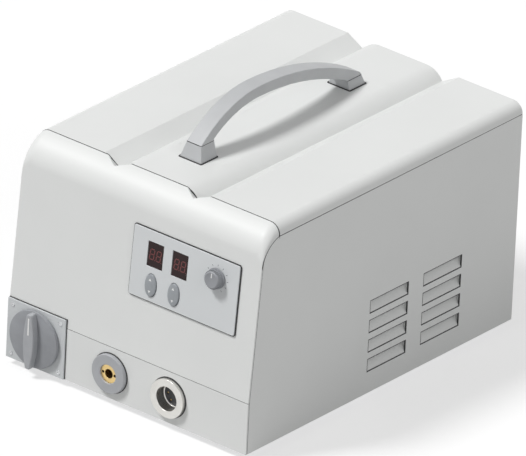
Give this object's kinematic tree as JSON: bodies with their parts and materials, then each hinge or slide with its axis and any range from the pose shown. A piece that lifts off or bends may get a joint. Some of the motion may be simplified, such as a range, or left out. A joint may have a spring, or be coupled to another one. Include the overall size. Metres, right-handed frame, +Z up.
{
  "type": "welding wire feeder",
  "caption": "Portable box-shaped welding wire feeder with grooved top and arched handle, louvred side, control panel, rotary switch, torch and remote sockets, hinged spool door and roll drive.",
  "frame": {"origin": "bottom centre of the bounding box, on the plane the feet stand on", "axes": "+Z up, -Y is the front with the sockets, +X is the louvred side"},
  "size_m": [0.31, 0.459, 0.303],
  "materials": {
    "casing_paint": "fine textured powder coat",
    "front_paint": "fine textured powder coat",
    "plate_grey": "satin moulded",
    "panel_film": "satin printed film",
    "handle_grip": "fine grained moulded plastic",
    "rubber_black": "matte",
    "zinc_steel": "zinc plated sheet",
    "screw_steel": "zinc plated",
    "black_plastic": "fine grained",
    "display_dark": "dark red tinted window",
    "key_grey": "soft satin",
    "knob_grey": "satin",
    "flange_grey": "glass-filled nylon, satin",
    "nickel": "nickel plated and turned",
    "board_green": "solder resist",
    "brass": "machined",
    "cast_alloy": "die cast",
    "motor_paint": "black enamel",
    "steel_bright": "hardened and ground",
    "knob_orange": "satin",
    "spool_plastic": "moulded",
    "copper_wire": "copper coated wire",
    "button_green": "gloss",
    "button_red": "gloss",
    "hose_black": "smooth",
    "liner_foam": "sheet foam"
  },
  "bodies": {
    "casing": {"base_tray": "zinc_steel", "front_panel": "front_paint", "connector_band": "front_paint", "switch_plate": "plate_grey", "top_cover": "casing_paint", "side_cover": "casing_paint", "left_frame": "casing_paint", "rear_panel": "casing_paint", "centre_wall": "zinc_steel", "handle": "handle_grip", "feet": "rubber_black", "casing_screws": "screw_steel", "hinge_pins": "screw_steel", "control_panel": "panel_film", "display_left": "display_dark", "display_right": "display_dark", "potentiometer": "steel_bright", "control_board": "board_green", "switch_body": "black_plastic", "torch_flange": "flange_grey", "torch_core": "brass", "torch_nut": "black_plastic", "remote_socket": "nickel", "remote_insert": "black_plastic", "drive_plate": "cast_alloy", "gearbox": "cast_alloy", "motor": "motor_paint", "drive_pins": "steel_bright", "wire_guides": "brass", "spindle": "steel_bright", "welding_wire": "copper_wire", "button_block": "black_plastic", "gas_valve": "brass", "gas_hose": "hose_black", "power_cable": "hose_black", "current_inlet": "brass", "control_inlet": "nickel"},
    "door": {"door": "casing_paint", "door_liner": "liner_foam"},
    "latch_upper": {"latch_upper": "black_plastic"},
    "latch_lower": {"latch_lower": "black_plastic"},
    "mode_switch": {"switch_knob": "knob_grey"},
    "key_left": {"key_left": "key_grey"},
    "key_right": {"key_right": "key_grey"},
    "adjust_knob": {"adjust_knob": "knob_grey"},
    "spool": {"spool_hub": "spool_plastic", "spool": "spool_plastic", "wire_winding": "copper_wire"},
    "drive_shaft": {"output_shaft": "steel_bright", "drive_roll": "steel_bright", "drive_gear": "steel_bright", "roll_nut": "black_plastic"},
    "pressure_arm": {"pressure_arm": "cast_alloy"},
    "pressure_roll": {"pressure_roll": "steel_bright", "pressure_gear": "steel_bright"},
    "tension_lever": {"tension_lever": "steel_bright", "tension_spring": "steel_bright"},
    "tension_knob": {"tension_knob": "knob_orange"},
    "inch_button": {"inch_button": "button_green"},
    "purge_button": {"purge_button": "button_red"}
  },
  "joints": [
    {"name": "door_swing", "type": "hinge", "parent": "casing", "child": "door", "pos_m": [-0.151, 0.187, 0.108], "axis": [0, 0, -1], "range_deg": [0, 100]},
    {"name": "latch_upper_turn", "type": "hinge", "parent": "door", "child": "latch_upper", "pos_m": [-0.155, -0.16, 0.181], "axis": [1, 0, 0], "range_deg": [0, 90]},
    {"name": "latch_lower_turn", "type": "hinge", "parent": "door", "child": "latch_lower", "pos_m": [-0.155, -0.16, 0.063], "axis": [1, 0, 0], "range_deg": [0, 90]},
    {"name": "mode_switch_turn", "type": "hinge", "parent": "casing", "child": "mode_switch", "pos_m": [-0.1175, -0.2175, 0.041], "axis": [0, -1, 0], "range_deg": [-90, 0]},
    {"name": "key_left_rock", "type": "hinge", "parent": "casing", "child": "key_left", "pos_m": [0.0215, -0.20574, 0.14733], "axis": [1, 0, 0], "range_deg": [-4, 4], "stiffness_Nm_per_rad": 0.05},
    {"name": "key_right_rock", "type": "hinge", "parent": "casing", "child": "key_right", "pos_m": [0.051, -0.20574, 0.14733], "axis": [1, 0, 0], "range_deg": [-4, 4], "stiffness_Nm_per_rad": 0.05},
    {"name": "adjust_knob_turn", "type": "hinge", "parent": "casing", "child": "adjust_knob", "pos_m": [0.1025, -0.20802, 0.18361], "axis": [0, -0.9972, 0.0753], "range_deg": [-150, 150]},
    {"name": "spool_spin", "type": "hinge", "parent": "casing", "child": "spool", "pos_m": [-0.0355, 0.07, 0.122], "axis": [1, 0, 0], "continuous": true},
    {"name": "drive_spin", "type": "hinge", "parent": "casing", "child": "drive_shaft", "pos_m": [-0.021, -0.143, 0.024], "axis": [1, 0, 0], "continuous": true},
    {"name": "arm_lift", "type": "hinge", "parent": "casing", "child": "pressure_arm", "pos_m": [-0.021, -0.165, 0.058], "axis": [1, 0, 0], "range_deg": [0, 50]},
    {"name": "pressure_spin", "type": "hinge", "parent": "pressure_arm", "child": "pressure_roll", "pos_m": [-0.021, -0.143, 0.049], "axis": [1, 0, 0], "continuous": true},
    {"name": "tension_lever_swing", "type": "hinge", "parent": "casing", "child": "tension_lever", "pos_m": [-0.021, -0.117, 0.0465], "axis": [1, 0, 0], "range_deg": [0, 40]},
    {"name": "tension_knob_turn", "type": "hinge", "parent": "tension_lever", "child": "tension_knob", "pos_m": [-0.021, -0.117, 0.0465], "axis": [0, 0.6428, 0.766], "range_deg": [-720, 720]},
    {"name": "inch_press", "type": "slide", "parent": "casing", "child": "inch_button", "axis": [1, 0, 0], "range_m": [0, 0.003], "stiffness_N_per_m": 300},
    {"name": "purge_press", "type": "slide", "parent": "casing", "child": "purge_button", "axis": [1, 0, 0], "range_m": [0, 0.003], "stiffness_N_per_m": 300}
  ],
  "couplings": [
    {"joint": "pressure_spin", "follows": "drive_spin", "ratio": -1}
  ]
}
